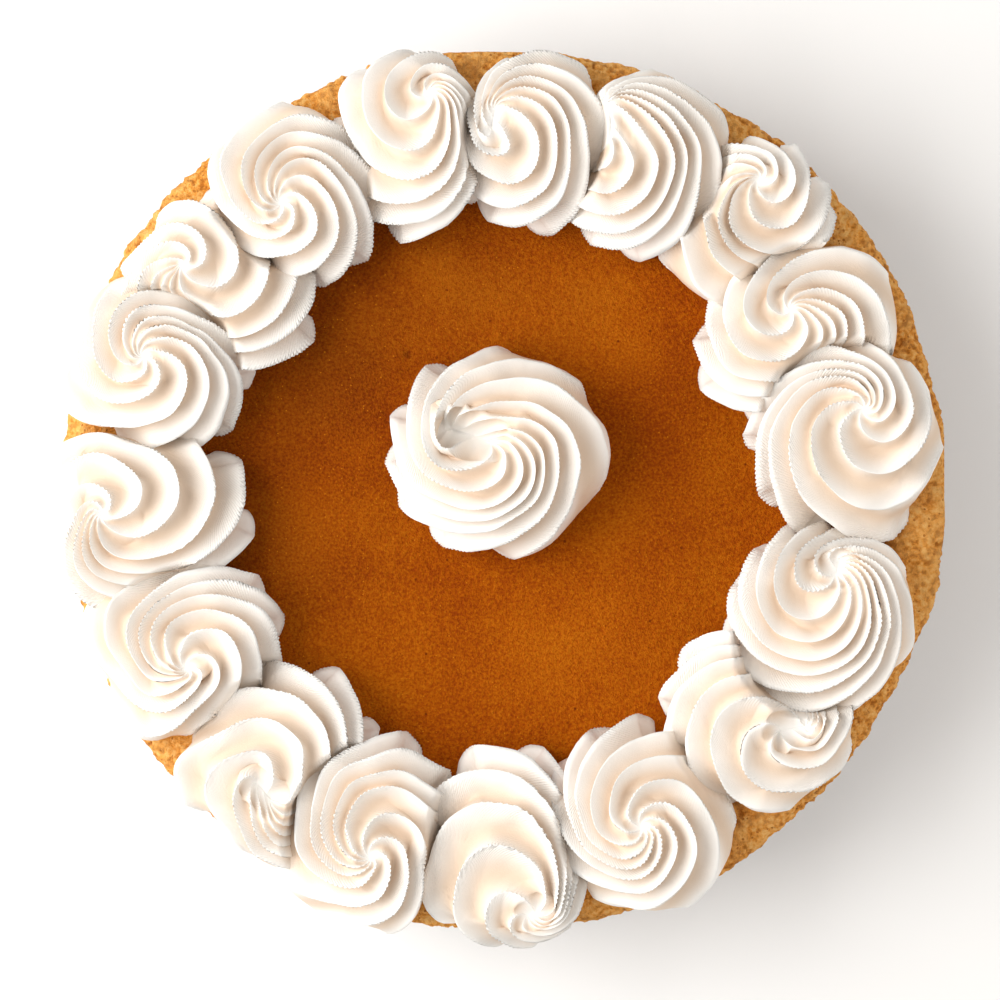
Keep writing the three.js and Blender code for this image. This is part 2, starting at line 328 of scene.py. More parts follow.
def crust_mesh(look):
    """The crust turned about Z, with a rim that was pressed by hand before baking.

    The rim bulges and pinches with the angle. Along its normal it then moves by lumps, blisters
    and crumbs of lattice noise, and cracks open where a noise passes through zero."""
    rim = curve_through(RIM_SECTION, np.linspace(0, 1, RIM_ROWS))
    floor = spaced_section(FLOOR_SECTION, HIDDEN_STEP)[:-1]
    hidden = spaced_section(HIDDEN_SECTION, HIDDEN_STEP)[1:]
    section = np.concatenate([floor, rim[:, :2], hidden]) * MM
    rough = np.concatenate([np.zeros(len(floor)), rim[:, 2], np.zeros(len(hidden))])[:, None]
    grid = revolved(section, look.steps)
    angle = np.arange(look.steps) / look.steps * TURN
    outward = unit(grid * np.array([1, 1, 0]))
    bulge = look.bulge * (rim_wave(angle) - 0.3) + look.bias * (0.65 + np.cos(angle - WIDE_SIDE))
    grid = grid + outward * (rough * bulge)[..., None]
    grid[..., 2] += rough * 0.45 * look.bulge * rim_wave(2 * angle + 1.3)

    normal = surface_normals(grid)
    lumps = layered_noise(grid, 13 * MM, 11, 2)
    blisters = np.maximum(lattice_noise(grid, 5 * MM, 13), 0) ** 1.5
    crumbs = layered_noise(grid, 2.6 * MM, 15, 3, 0.7)
    pitted = ease(-0.3, 0.4, lattice_noise(grid, 11 * MM, 18))
    pits = np.maximum(lattice_noise(grid, 1.7 * MM, 17) - 0.35, 0) * pitted
    vein = np.abs(layered_noise(grid, 9 * MM, 21, 3, 0.6))
    crack = np.exp(-((vein / 0.02) ** 2)) * ease(0.1, 0.6, lattice_noise(grid, 16 * MM, 23))
    shift = look.lumps * lumps + look.blisters * blisters + look.crumbs * crumbs - look.cracks * crack
    shift = shift - 0.35 * look.lumps - look.pits * pits
    grid = kept_inside(grid + normal * (rough * shift)[..., None], look.margin)
    high = 0.5 + 0.3 * lumps + 0.6 * crumbs
    # the crack mark sets where the material paints shade in the cracks and pits
    marks = {"high": high, "crack": np.clip(crack + 0.8 * pits, 0, 1) * rough}
    top_pole = (0, 0, FLOOR_SECTION[0][1] * MM)
    low_pole = (0, 0, HIDDEN_SECTION[-1][1] * MM)
    return closed_mesh("crust_shell", top_pole, grid, low_pole, marks)


# ---- filling ----

# The one pit that a bubble left in the filling.
PIT_PLACE = (-26.5 * MM, 39.8 * MM)
PIT_WIDTH = 1.0 * MM
PIT_DEPTH = 0.9 * MM


def filling_mesh(look):
    """A disc of set custard turned about Z. Its surface sinks towards the crust and is uneven by
    soft lattice noise, with one small pit, and its side and underside are plain."""
    brim = CRUST_BRIM - 1.9 * MM
    shoulder = brim - 0.5 * MM
    radii = np.linspace(0, 1, look.rings + 1)[1:] ** 0.8 * shoulder
    top = np.stack([radii, filling_height(radii)], axis=-1)
    side = spaced_section([
        (shoulder, filling_height(brim)), (brim, filling_height(brim) - 0.6 * MM),
        (105.0 * MM, 29 * MM), (87.9 * MM, FILLING_BASE), (1 * MM, FILLING_BASE),
    ], 8 * MM)
    section = np.concatenate([top, side[1:]])
    grid = revolved(section, look.steps)
    flat = grid * np.array([1, 1, 0])
    on_top = (np.arange(len(section)) < look.rings) * (1 - ease(0.93, 1.0, section[:, 0] / brim))
    swell = look.swell * layered_noise(flat, 34 * MM, 31, 2)
    swell = swell + look.grain * layered_noise(flat, 3.2 * MM, 33, 2)
    from_pit = (flat[..., 0] - PIT_PLACE[0]) ** 2 + (flat[..., 1] - PIT_PLACE[1]) ** 2
    pit = np.exp(-(from_pit / PIT_WIDTH**2))
    grid[..., 2] += on_top[:, None] * (swell - 0.5 * look.swell - PIT_DEPTH * pit)

    # painted shadow of the swirls, darker towards the back left in drifts, and painted shade in the pit
    toward = flat[..., 0] * -0.75 + flat[..., 1] * 0.55
    drift = layered_noise(flat, 26 * MM, 35, 3) * 26 * MM
    painted_shade = 0.85 * ease(0, 75 * MM, toward + drift) + 0.8 * pit
    middle = (0, 0, grid[0, :, 2].mean())
    marks = {"painted_shade": np.clip(painted_shade, 0, 1)}
    return closed_mesh("filling_surface", middle, grid, (0, 0, FILLING_BASE), marks)


# ---- cream ----

# Each swirl's numbers: bearing is in degrees and the rest in millimetres. out and side are half
# widths along and across the line from the middle of the pie, and eye is where its ridges start,
# in the same two directions. winds is 1 for clockwise on the way out and -1 for anticlockwise,
# seen from above. sweep is how far a ridge winds and lobe the direction from the eye in which
# ridges crowd together, in degrees. dip is how deep the eye is, and slit draws the eye out into a
# furrow. over lists the swirls piped against it, torn is how ragged the cream is around the eye
# and square fills the corners that face the rim. The places are close to the solids' own.
SWIRLS = {
    "01": dict(
        bearing=9, reach=99.5, out=27.5, side=29.2, eye=(4, 7.5), winds=-1,
        sweep=210, lobe=211, dip=1.5,
    ),
    "02": dict(
        bearing=28, reach=96.5, out=30, side=25, eye=(-1, 7.5), winds=1,
        sweep=200, lobe=167, dip=0.5, over=("01",),
    ),
    "03": dict(
        bearing=48.5, reach=102.5, out=25, side=23.5, eye=(11, 4), winds=-1,
        sweep=190, lobe=286, dip=2, over=("02", "04"), torn=1.2,
    ),
    "04": dict(
        bearing=66.5, reach=102.5, out=26.5, side=24, eye=(1, 12), winds=1,
        sweep=190, lobe=194, dip=0.5, slit=(9, 4), ridges=9, over=("05",), torn=0.5,
    ),
    "05": dict(
        bearing=84.5, reach=101.3, out=26.6, side=21.5, eye=(5.5, 12), winds=1,
        sweep=190, lobe=182, dip=2.5, slit=(-5.5, 0.8), torn=0.6,
    ),
    "06": dict(
        bearing=104, reach=102, out=26.5, side=22, eye=(11, -8), winds=1,
        sweep=210, lobe=132, dip=1, over=("05", "07"), square=0.05,
    ),
    "07": dict(
        bearing=124.5, reach=103.5, out=26, side=23, eye=(-1.5, 4.5), winds=1,
        sweep=200, lobe=202, dip=3, torn=0.8, square=0.05,
    ),
    "08": dict(
        bearing=144, reach=98.5, out=27.5, side=24.5, eye=(10.5, 0.5), winds=-1,
        sweep=190, lobe=215, dip=0.5, over=("07", "09"), square=0.12,
    ),
    "09": dict(
        bearing=160, reach=103, out=25.5, side=23, eye=(4, -2), winds=1,
        sweep=210, lobe=160, dip=1.5, square=0.27,
    ),
    "10": dict(
        bearing=183, reach=98.5, out=27, side=24.5, eye=(13, 0), winds=-1,
        sweep=190, lobe=165, dip=1, over=("09", "11"), square=0.3,
    ),
    "11": dict(
        bearing=205.5, reach=98, out=26, side=23, eye=(2, 6), winds=1,
        sweep=220, lobe=182, dip=2, over=("12",), square=0.32,
    ),
    "12": dict(
        bearing=230.5, reach=96.5, out=27, side=25, eye=(10.5, 4.5), winds=-1,
        sweep=200, lobe=191, dip=5, slit=(-1, -6), over=("13",), square=0.34,
    ),
    "13": dict(
        bearing=248.5, reach=102, out=27, side=24, eye=(5.5, 3), winds=1,
        sweep=210, lobe=157, dip=2, over=("14",), square=0.22,
    ),
    "14": dict(
        bearing=271, reach=100, out=29, side=24, eye=(18, 5.5), winds=-1,
        sweep=190, lobe=200, dip=4, slit=(-1, 2.5), over=("15",), square=0.1,
    ),
    "15": dict(
        bearing=294, reach=100.5, out=27.5, side=26, eye=(0, -2), winds=1,
        sweep=220, lobe=185, dip=2, over=("16",),
    ),
    "16": dict(
        bearing=319.5, reach=97, out=27.5, side=27.5, eye=(5.5, 0.5), winds=-1,
        sweep=210, lobe=205, dip=5.5, slit=(4.5, 5.5), ridges=8, over=("17",),
    ),
    "17": dict(
        bearing=338.5, reach=97.5, out=26.5, side=29, eye=(-2.5, 13.5), winds=1,
        sweep=200, lobe=207, dip=3, slit=(0, 4), ridges=10, over=("01",), torn=0.6,
    ),
    "centre": dict(
        bearing=88.5, reach=12, out=29.5, side=31, eye=(2.5, 3.5), winds=1,
        sweep=210, lobe=99, dip=11, slit=(3.5, 11), ridges=9,
    ),
}

# A swirl's section from its eye to its foot: shares of the way to the edge and of its height.
SWIRL_SECTION = [
    (0.0, 0.97), (0.16, 0.99), (0.34, 1.0), (0.54, 0.97), (0.73, 0.87),
    (0.88, 0.7), (0.97, 0.48), (1.0, 0.28), (0.985, 0.12), (0.93, 0.0),
]
WIDEST_KNOT = 7
# Places across one ridge and the flute outside it, as shares of the way to the next ridge.
FLUTE_STEPS = (
    0, 0.02, 0.05, 0.09, 0.14, 0.2, 0.27, 0.35, 0.43, 0.52, 0.61, 0.7, 0.79, 0.87, 0.93, 0.975,
)
# How far a swirl sinks into what it stands on, and how wide the hollow around its eye is.
SWIRL_SINK = 0.6 * MM
EYE_WIDTH = 2.8 * MM


def swirl_axes(swirl):
    """The middle of a swirl, and the unit directions out of the pie and anticlockwise."""
    bearing = math.radians(swirl["bearing"])
    outward = np.array([math.cos(bearing), math.sin(bearing)])
    sideways = np.array([-outward[1], outward[0]])
    return outward * swirl["reach"] * MM, outward, sideways


def edge_distance(swirl, direction, inset):
    """Distance from the eye to the swirl's elliptical edge, by the ray and ellipse formula."""
    out, side = swirl["out"] * MM - inset, swirl["side"] * MM - inset
    eye_out, eye_side = swirl["eye"][0] * MM, swirl["eye"][1] * MM
    x, y = np.cos(direction), np.sin(direction)
    a = (x / out) ** 2 + (y / side) ** 2
    b = eye_out * x / out**2 + eye_side * y / side**2
    c = (eye_out / out) ** 2 + (eye_side / side) ** 2 - 1
    return (-b + np.sqrt(b * b - a * c)) / a


def inside_share(swirl, x, y):
    """How far out of a swirl's middle a point lies, as a share of the way to its edge."""
    middle, outward, sideways = swirl_axes(swirl)
    dx, dy = x - middle[0], y - middle[1]
    along = (dx * outward[0] + dy * outward[1]) / (swirl["out"] * MM)
    across = (dx * sideways[0] + dy * sideways[1]) / (swirl["side"] * MM)
    return np.hypot(along, across)


def furrow_distance(swirl, out, side):
    """Distance from the swirl's eye or, if it is drawn out, from the line of its furrow."""
    slit = np.array(swirl.get("slit", (0, 0))) * MM
    from_out, from_side = out - swirl["eye"][0] * MM, side - swirl["eye"][1] * MM
    share = (from_out * slit[0] + from_side * slit[1]) / max(slit @ slit, 1e-12)
    share = np.clip(share, 0, 1)
    return np.hypot(from_out - share * slit[0], from_side - share * slit[1])


def wound_columns(ridges, winds):
    """The direction of each column of the grid and its place across its ridge, with the columns
    in anticlockwise order."""
    steps = np.tile(FLUTE_STEPS, ridges)
    turns = (np.repeat(np.arange(ridges), len(FLUTE_STEPS)) + steps) / ridges
    column = turns * TURN * winds % TURN
    order = np.argsort(column)
    return column[order], steps[order][None, :]


def drawn_out(swirl, direction, inward, inset):
    """How much of the furrow's length each point is moved by: all at the eye and none at the
    edge, by a power of the way out that is gentler where the furrow comes near the edge."""
    slit_out, slit_side = swirl.get("slit", (0, 0))
    slit_turn = math.atan2(slit_side, slit_out)
    room = edge_distance(swirl, slit_turn, inset)
    length = max(math.hypot(slit_out, slit_side) * MM, 1e-6)
    sharpness = np.clip(0.8 * room / length, 1.05, 2.6)
    drawn = ease(-0.7, 0.9, np.cos(direction - slit_turn)) * (1 - inward) ** sharpness
    return slit_out * MM * drawn, slit_side * MM * drawn


def squared_off(swirl, out, side):
    """The two corners that face the rim are filled: points are moved out from the swirl's
    middle, by most half way between its two axes and by nothing near the middle."""
    heading = np.arctan2(side, out)
    corner = np.sin(2 * heading) ** 2 * np.sqrt(np.maximum(np.cos(heading), 0))
    from_middle = np.hypot(out / swirl["out"], side / swirl["side"]) / MM
    stretch = 1 + swirl.get("square", 0) * corner * ease(0.3, 1.0, from_middle)
    return out * stretch, side * stretch


def pressed_down(grid, swirl, top, seed):
    """Where another swirl was piped against this one, the surface drops below that one's edge,
    and deeper further under it."""
    for other_key in swirl.get("over", ()):
        share = inside_share(SWIRLS[other_key], grid[..., 0], grid[..., 1])
        share = share + 0.03 * lattice_noise(grid, 6 * MM, seed + 11)
        floor = ground_height(np.hypot(grid[..., 0], grid[..., 1]))
        level = floor + (top - floor) * (0.5 - 2.2 * np.clip(0.98 - share, 0, 0.2))
        press = 1 - ease(0.82, 1.0, share)
        lowered = np.minimum(grid[..., 2], level)
        grid[..., 2] = grid[..., 2] * (1 - press) + lowered * press
    return grid


def swirl_mesh(name, swirl, look, seed):
    """A dome of ridges that wind from the eye to the edge, like petals that overlap.

    The grid's second direction counts ridges and its first runs from the eye to the foot. A
    point lies at eye + edge distance * section share, in a direction that turns by the sweep on
    the way out. Flutes are cut in along the dome's own normal. Near the top they are steep
    outside each ridge and near the edge inside it, so that each ridge ends as a blade. Crests
    lean outward and end in tips.
    """
    middle, outward, sideways = swirl_axes(swirl)
    winds = swirl["winds"]
    column, in_flute = wound_columns(swirl.get("ridges", look.ridges), winds)
    rows = np.linspace(0.0, 1.0, look.rows + 1)[1:]

    # how far out, how high and how far round each row is
    section = curve_through(SWIRL_SECTION, rows)
    out_share, up_share = section[:, 0][:, None], section[:, 1][:, None]
    widest = WIDEST_KNOT / (len(SWIRL_SECTION) - 1)
    beyond = ease(widest, 1.0, rows)[:, None]
    inward = out_share * (rows[:, None] <= widest) + (rows[:, None] > widest)
    curl = 0.04 if "slit" in swirl else 0.2
    turned = 0.72 * inward + 0.28 * inward**2 - curl * np.exp(-inward / 0.08) + 0.05 * beyond

    # the dome, with ridges spaced unevenly and crowded on the lobed side
    around = np.stack([np.cos(column), np.sin(column), np.full_like(column, seed)], axis=-1)
    column = column + look.uneven * lattice_noise(around, 0.8, seed) - look.crowd * np.sin(column)
    lobed = ease(-0.3, 0.9, np.cos(column))[None, :]
    edge_direction = math.radians(swirl["lobe"]) + column
    direction = edge_direction + winds * math.radians(swirl["sweep"]) * (1 - turned)
    reach = edge_distance(swirl, direction, look.inset) * out_share
    drawn = drawn_out(swirl, direction, inward, look.inset)
    local_out = swirl["eye"][0] * MM + reach * np.cos(direction) + drawn[0]
    local_side = swirl["eye"][1] * MM + reach * np.sin(direction) + drawn[1]
    local_out, local_side = squared_off(swirl, local_out, local_side)
    x = middle[0] + local_out * outward[0] + local_side * sideways[0]
    y = middle[1] + local_out * outward[1] + local_side * sideways[1]
    seat = ground_height(np.hypot(x, y)) - SWIRL_SINK
    node_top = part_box(name)[1].z
    from_furrow = furrow_distance(swirl, local_out, local_side)
    dip = swirl["dip"] * MM * np.exp(-((from_furrow / EYE_WIDTH) ** 2))
    grid = np.stack([x, y, seat + (node_top - seat) * up_share - dip], axis=-1)

    # the whole swirl is a little out of shape
    wander = [layered_noise(grid, 15 * MM, seed + 20 + axis, 2) for axis in range(3)]
    settled = ease(0.02, 0.2, out_share)[..., None]
    grid = grid + look.wander * np.stack(wander, axis=-1) * settled

    # flutes, as deep as the room between two ridges lets them be
    normal = surface_normals(grid)
    bias = 0.72 + 1.2 * ease(0.72, 1.0, inward)
    hollow = np.sin(np.pi * in_flute**bias) ** 0.9
    gap = np.linalg.norm(np.roll(grid, -len(FLUTE_STEPS), axis=1) - grid, axis=-1)
    along = unit(np.gradient(grid, axis=0))
    away = np.stack([x, y, np.zeros_like(x)], axis=-1)
    radial = unit(away - away[:1].mean(axis=1, keepdims=True))
    lean_in = (radial * along).sum(-1, keepdims=True)
    across = unit(radial - lean_in * along)
    spacing = gap * np.clip(np.sqrt(np.maximum(1 - lean_in[..., 0] ** 2, 0)), 0.2, 1)
    strength = 1 + 0.35 * lattice_noise(grid, 10 * MM, seed + 3)
    strength = strength * (1 + (1.0 * lobed - 0.7) * ease(0.8, 1, inward))
    fade = ease(0.2 * MM, 3.2 * MM, from_furrow)
    depth = np.minimum(look.flute_depth * strength, look.flute_share * spacing) * (0.15 + 0.85 * fade)
    grid = grid - normal * (depth * hollow)[..., None]

    # crests lean outward over the flute outside them, and end in tips where they are crowded
    crest = np.maximum(1 - hollow, 0) ** 2
    lean = look.lean * crest * np.minimum(depth / look.flute_depth, 1) * fade
    tip = np.where(in_flute < 0.5, np.exp(-in_flute / 0.22), np.exp(-(1 - in_flute) / 0.04))
    tip = look.tips * tip * (0.12 + 0.88 * lobed) * ease(0.7, 1.0, inward) * (1 - 0.6 * beyond)
    grid = grid + across * lean[..., None] + radial * tip[..., None]

    # a crest is notched by the nozzle's teeth, and more in some places than in others
    length = np.cumsum(np.linalg.norm(np.diff(grid, axis=0, prepend=grid[:1]), axis=-1), axis=0)
    ticks = np.sin(length / look.notch_spacing * TURN + 2.5 * lattice_noise(grid, 3 * MM, seed + 5))
    notched = ease(-0.5, 0.5, lattice_noise(grid, 12 * MM, seed + 6))
    from_crest = np.minimum(in_flute, 1 - in_flute)
    notch = look.notches * ticks * notched * np.exp(-((from_crest / 0.07) ** 2)) * fade
    grid = grid + across * notch[..., None] - normal * (0.5 * np.abs(notch))[..., None]

    # soft lumps all over, and ragged cream around some eyes
    soft = layered_noise(grid, 7 * MM, seed + 9, 3)
    near_eye = np.exp(-((from_furrow / (8 * MM)) ** 2))
    torn = swirl.get("torn", 0) * MM * layered_noise(grid, 3.5 * MM, seed + 13, 2) * near_eye
    grid = grid + normal * (look.lumps * soft * fade + torn)[..., None]
    grid = pressed_down(kept_inside(grid, look.margin), swirl, node_top, seed)

    floor = ground_height(np.hypot(grid[..., 0], grid[..., 1])) - SWIRL_SINK
    grid[..., 2] = np.clip(grid[..., 2], floor, node_top)
    top_pole = grid[0].mean(axis=0)
    low_pole = np.array([*middle, ground_height(np.linalg.norm(middle)) - SWIRL_SINK])
    ribs = np.exp(-((from_crest / 0.2) ** 2)) * notched * fade
    # the flute mark also sets where the material paints shade in the hollows
    marks = {"flute": hollow * fade, "along": length, "ribs": ribs}
    return closed_mesh(name + "_piped", top_pole, grid, low_pole, marks)


# ---- materials ----


def new_material(name, colour, roughness, specular=0.5):
    """A material's node tree and its Principled shader, with its plain values set."""
    material = bpy.data.materials.new(name)
    material.use_nodes = True
    shader = material.node_tree.nodes["Principled BSDF"]
    shader.inputs["Base Color"].default_value = (*colour, 1)
    shader.inputs["Roughness"].default_value = roughness
    shader.inputs["Specular IOR Level"].default_value = specular
    return material, material.node_tree, shader


def add_node(tree, kind, inputs=None, **settings):
    """A new node of a kind, with its settings by name. Each of its inputs is given a number, a
    colour or the output of another node."""
    node = tree.nodes.new(kind)
    for key, value in settings.items():
        setattr(node, key, value)
    for key, value in (inputs or {}).items():
        if isinstance(value, bpy.types.NodeSocket):
            tree.links.new(value, node.inputs[key])
        else:
            node.inputs[key].default_value = value
    return node


def worked_out(tree, operation, *values):
    """The result of a sum on numbers or outputs."""
    return add_node(tree, "ShaderNodeMath", dict(enumerate(values)), operation=operation).outputs[0]


def between(tree, share, first, second):
    """A number that goes from the first to the second as the share goes from 0 to 1."""
    return add_node(tree, "ShaderNodeMix", {0: share, 2: first, 3: second}).outputs[0]


def mixed_colour(tree, share, first, second, blend="MIX"):
    """A colour that goes from the first towards the second as the share goes from 0 to 1."""
    colours = {0: share, 6: first, 7: second}
    return add_node(tree, "ShaderNodeMix", colours, data_type="RGBA", blend_type=blend).outputs[2]


def marked(tree, name):
    """The number that a mesh's own marks give at each point."""
    return add_node(tree, "ShaderNodeAttribute", attribute_name=name).outputs["Fac"]


def in_range(tree, value, **limits):
    """A number moved evenly from one range to another and kept inside it."""
    named = {key.replace("_", " ").title(): limit for key, limit in limits.items()}
    return add_node(tree, "ShaderNodeMapRange", {"Value": value, **named}).outputs["Result"]


def noise(tree, scale, detail):
    """Smooth noise in the object's own space, with so many cells in a metre."""
    place = add_node(tree, "ShaderNodeTexCoord").outputs["Object"]
    inputs = {"Vector": place, "Scale": scale, "Detail": detail}
    return add_node(tree, "ShaderNodeTexNoise", inputs).outputs["Fac"]


def new_group(name, numbers, colours, outputs):
    """An empty shared effect: inputs with their defaults, and outputs with their kinds."""
    group = bpy.data.node_groups.new(name, "ShaderNodeTree")
    for key in colours:
        group.interface.new_socket(key, in_out="INPUT", socket_type="NodeSocketColor")
    for key, value in numbers.items():
        socket = group.interface.new_socket(key, in_out="INPUT", socket_type="NodeSocketFloat")
        socket.default_value = value
    for key, kind in outputs.items():
        group.interface.new_socket(key, in_out="OUTPUT", socket_type=kind)
    return group, add_node(group, "NodeGroupInput").outputs


def grain_group():
    """A shared effect: a bumpy normal from two sizes of noise, the fine one 3.7 times smaller."""
    group, given = new_group(
        "grain", {"Cells per metre": 500.0, "Strength": 0.3, "Depth": 0.0005, "Fine share": 0.4}, (),
        {"Normal": "NodeSocketVector", "Height": "NodeSocketFloat"},
    )
    cells = given["Cells per metre"]
    coarse = noise(group, cells, 3)
    fine = noise(group, worked_out(group, "MULTIPLY", cells, 3.7), 2)
    height = between(group, given["Fine share"], coarse, fine)
    bump = add_node(group, "ShaderNodeBump", {
        "Strength": given["Strength"], "Distance": given["Depth"], "Height": height,
    })
    add_node(group, "NodeGroupOutput", {"Normal": bump.outputs["Normal"], "Height": height})
    return group


def mottle_group():
    """A shared effect: three colours mixed by a broad and a narrow noise. The noise, less its
    middle value, is stretched by the contrast, and goes from dark over middle to light."""
    group, given = new_group(
        "mottle", {"Broad cells": 30.0, "Narrow cells": 300.0, "Narrow share": 0.35, "Contrast": 1.0},
        ("Dark", "Middle", "Light"), {"Color": "NodeSocketColor"},
    )
    broad = noise(group, given["Broad cells"], 3)
    narrow = noise(group, given["Narrow cells"], 4)
    both = between(group, given["Narrow share"], broad, narrow)
    level = worked_out(group, "SUBTRACT", both, 0.5)
    level = worked_out(group, "MULTIPLY", level, given["Contrast"])
    up_to_middle = in_range(group, level, from_min=-0.5, from_max=0.0)
    above_middle = in_range(group, level, from_min=0.0, from_max=0.5)
    darker = mixed_colour(group, up_to_middle, given["Dark"], given["Middle"])
    lighter = mixed_colour(group, above_middle, darker, given["Light"])
    add_node(group, "NodeGroupOutput", {"Color": lighter})
    return group


def specks_group():
    """A shared effect: scattered round specks. Each cell has one, as large as the size says, if
    the cell's random number is above the rarity."""
    group, given = new_group(
        "specks", {"Cells per metre": 400.0, "Size": 0.25, "Rarity": 0.6}, (),
        {"Fac": "NodeSocketFloat"},
    )
    place = add_node(group, "ShaderNodeTexCoord").outputs["Object"]
    cells = add_node(group, "ShaderNodeTexVoronoi", {
        "Vector": place, "Scale": given["Cells per metre"],
    })
    near = worked_out(group, "LESS_THAN", cells.outputs["Distance"], given["Size"])
    random = add_node(group, "ShaderNodeSeparateColor", {0: cells.outputs["Color"]}).outputs[0]
    rare = worked_out(group, "GREATER_THAN", random, given["Rarity"])
    add_node(group, "NodeGroupOutput", {"Fac": worked_out(group, "MULTIPLY", near, rare)})
    return group


def add_group(tree, name, **values):
    """A shared effect in a material, with its inputs by name. It is built the first time."""
    makers = {"grain": grain_group, "mottle": mottle_group, "specks": specks_group}
    group = bpy.data.node_groups.get(name) or makers[name]()
    inputs = {key.replace("_", " "): value for key, value in values.items()}
    return add_node(tree, "ShaderNodeGroup", inputs, node_tree=group).outputs


def specked(tree, colour, cells, size, rarity, glint_colour):
    """A colour with specks of another in it."""
    specks = add_group(tree, "specks", Cells_per_metre=cells, Size=size, Rarity=rarity)
    return mixed_colour(tree, specks["Fac"], colour, glint_colour)


def whipped_cream_material(look):
    """Smooth whipped cream: painted warm shade in the flutes, ribbed beside the crests, with fine air
    in it.
    """
    material, tree, shader = new_material("whipped_cream", look.crest_colour, 0.55, 0.3)
    # painted shade: the cream darkens from its crest colour to a warm beige deep in the flutes
    deep = worked_out(tree, "POWER", marked(tree, "flute"), 1.2)
    flute_shade = mixed_colour(tree, deep, (*look.crest_colour, 1), (*look.flute_shade_colour, 1))
    tree.links.new(flute_shade, shader.inputs["Base Color"])
    air = add_group(tree, "grain", Cells_per_metre=700.0, Strength=0.35, Depth=0.0004, Fine_share=0.5)

    # ribs: a wave along each ridge, kept near its crest
    phase = worked_out(
        tree, "MULTIPLY_ADD", marked(tree, "along"), TURN / look.rib_spacing, air["Height"],
    )
    wave = worked_out(tree, "MULTIPLY", worked_out(tree, "SINE", phase), marked(tree, "ribs"))
    ribbed = add_node(tree, "ShaderNodeBump", {
        "Strength": 0.55, "Distance": 0.12 * MM, "Height": wave, "Normal": air["Normal"],
    })
    tree.links.new(ribbed.outputs["Normal"], shader.inputs["Normal"])
    return material


def set_pumpkin_material():
    """Set custard: dark spice orange with a fine grain, dark pores of painted shade and paler specks of
    painted glints.
    """
    material, tree, shader = new_material("set_pumpkin", (0.33, 0.066, 0.003), 0.6, 0.04)
    custard = add_group(
        tree, "mottle",
        Dark=(0.27, 0.043, 0.001, 1), Middle=(0.39, 0.082, 0.001, 1), Light=(0.49, 0.13, 0.003, 1),
        Broad_cells=28.0, Narrow_cells=1400.0, Narrow_share=0.62, Contrast=3.8,
    )
    # painted shade: multiplied in by the mark for the swirls' shadow on the back left and the shade in
    # the pit
    painted_shade_colour = (0.56, 0.52, 0.9, 1)
    # painted shade: dark specks for the shade inside small pores
    pore_shade_colour = (0.2, 0.034, 0.001, 1)
    # painted glints: paler specks scattered over the custard
    glint_colour = (0.55, 0.17, 0.006, 1)
    deeper = mixed_colour(tree, marked(tree, "painted_shade"), custard["Color"], painted_shade_colour, "MULTIPLY")
    pore_shaded = specked(tree, deeper, 330.0, 0.13, 0.93, pore_shade_colour)
    glinted = specked(tree, pore_shaded, 820.0, 0.17, 0.8, glint_colour)
    tree.links.new(glinted, shader.inputs["Base Color"])
    grain = add_group(tree, "grain", Cells_per_metre=700.0, Strength=1.0, Depth=0.0013, Fine_share=0.45)
    tree.links.new(grain["Normal"], shader.inputs["Normal"])
    return material


def baked_crust_material():
    """Baked pastry: golden brown and matte, paler where it stands proud, and with painted shade in its
    cracks and pits."""
    material, tree, shader = new_material("baked_crust", (0.6, 0.26, 0.07), 0.85, 0.2)
    pastry = add_group(
        tree, "mottle",
        Dark=(0.43, 0.14, 0.014, 1), Middle=(0.79, 0.32, 0.05, 1), Light=(0.9, 0.5, 0.155, 1),
        Broad_cells=70.0, Narrow_cells=600.0, Narrow_share=0.72, Contrast=4.5,
    )
    # a paler colour where lumps and crumbs stand proud, by the high mark
    raised_colour = (0.84, 0.47, 0.15, 1)
    # painted shade: darker in the cracks and pits that the crack mark gives, and dark specks for small
    # pits
    crack_shade_colour = (0.34, 0.1, 0.014, 1)
    pit_shade_colour = (0.47, 0.17, 0.03, 1)
    pale = in_range(tree, marked(tree, "high"), from_min=0.35, from_max=0.95, to_max=0.6)
    paler_raised = mixed_colour(tree, pale, pastry["Color"], raised_colour)
    crack_shaded = mixed_colour(tree, marked(tree, "crack"), paler_raised, crack_shade_colour)
    pitted = specked(tree, crack_shaded, 700.0, 0.28, 0.82, pit_shade_colour)
    tree.links.new(pitted, shader.inputs["Base Color"])
    grain = add_group(tree, "grain", Cells_per_metre=520.0, Strength=1.0, Depth=0.0014, Fine_share=0.55)
    tree.links.new(grain["Normal"], shader.inputs["Normal"])
    return material


def pressed_tin_material():
    """Plain pressed aluminium, rubbed a little."""
    material, tree, shader = new_material("pressed_tin", (0.72, 0.73, 0.74), 0.32)
    shader.inputs["Metallic"].default_value = 1.0
    grain = add_group(tree, "grain", Cells_per_metre=260.0, Strength=0.12, Depth=0.0002, Fine_share=0.5)
    tree.links.new(grain["Normal"], shader.inputs["Normal"])
    rubbed = in_range(tree, grain["Height"], to_min=0.24, to_max=0.44)
    tree.links.new(rubbed, shader.inputs["Roughness"])
    return material


# ---- the stage ----

# Where the lights are aimed, and the height at which the view's width is measured.
LIGHT_AIM = (0, 0, 0.04)
PIE_TOP = 0.045
CAMERA_PLACE = (-0.0003, -0.0017)


def add_lamp(name, power, size, colour, place):
    """A square soft light at a place, turned to the pie."""
    lamp = bpy.data.lights.new(name, "AREA")
    lamp.energy = power
    lamp.size = size
    lamp.color = colour
    lamp_object = bpy.data.objects.new(name, lamp)
    lamp_object.location = place
    aim = Vector(LIGHT_AIM) - lamp_object.location
    lamp_object.rotation_euler = aim.to_track_quat("-Z", "Y").to_euler()
    bpy.context.scene.collection.objects.link(lamp_object)


# ---- the add-on ----


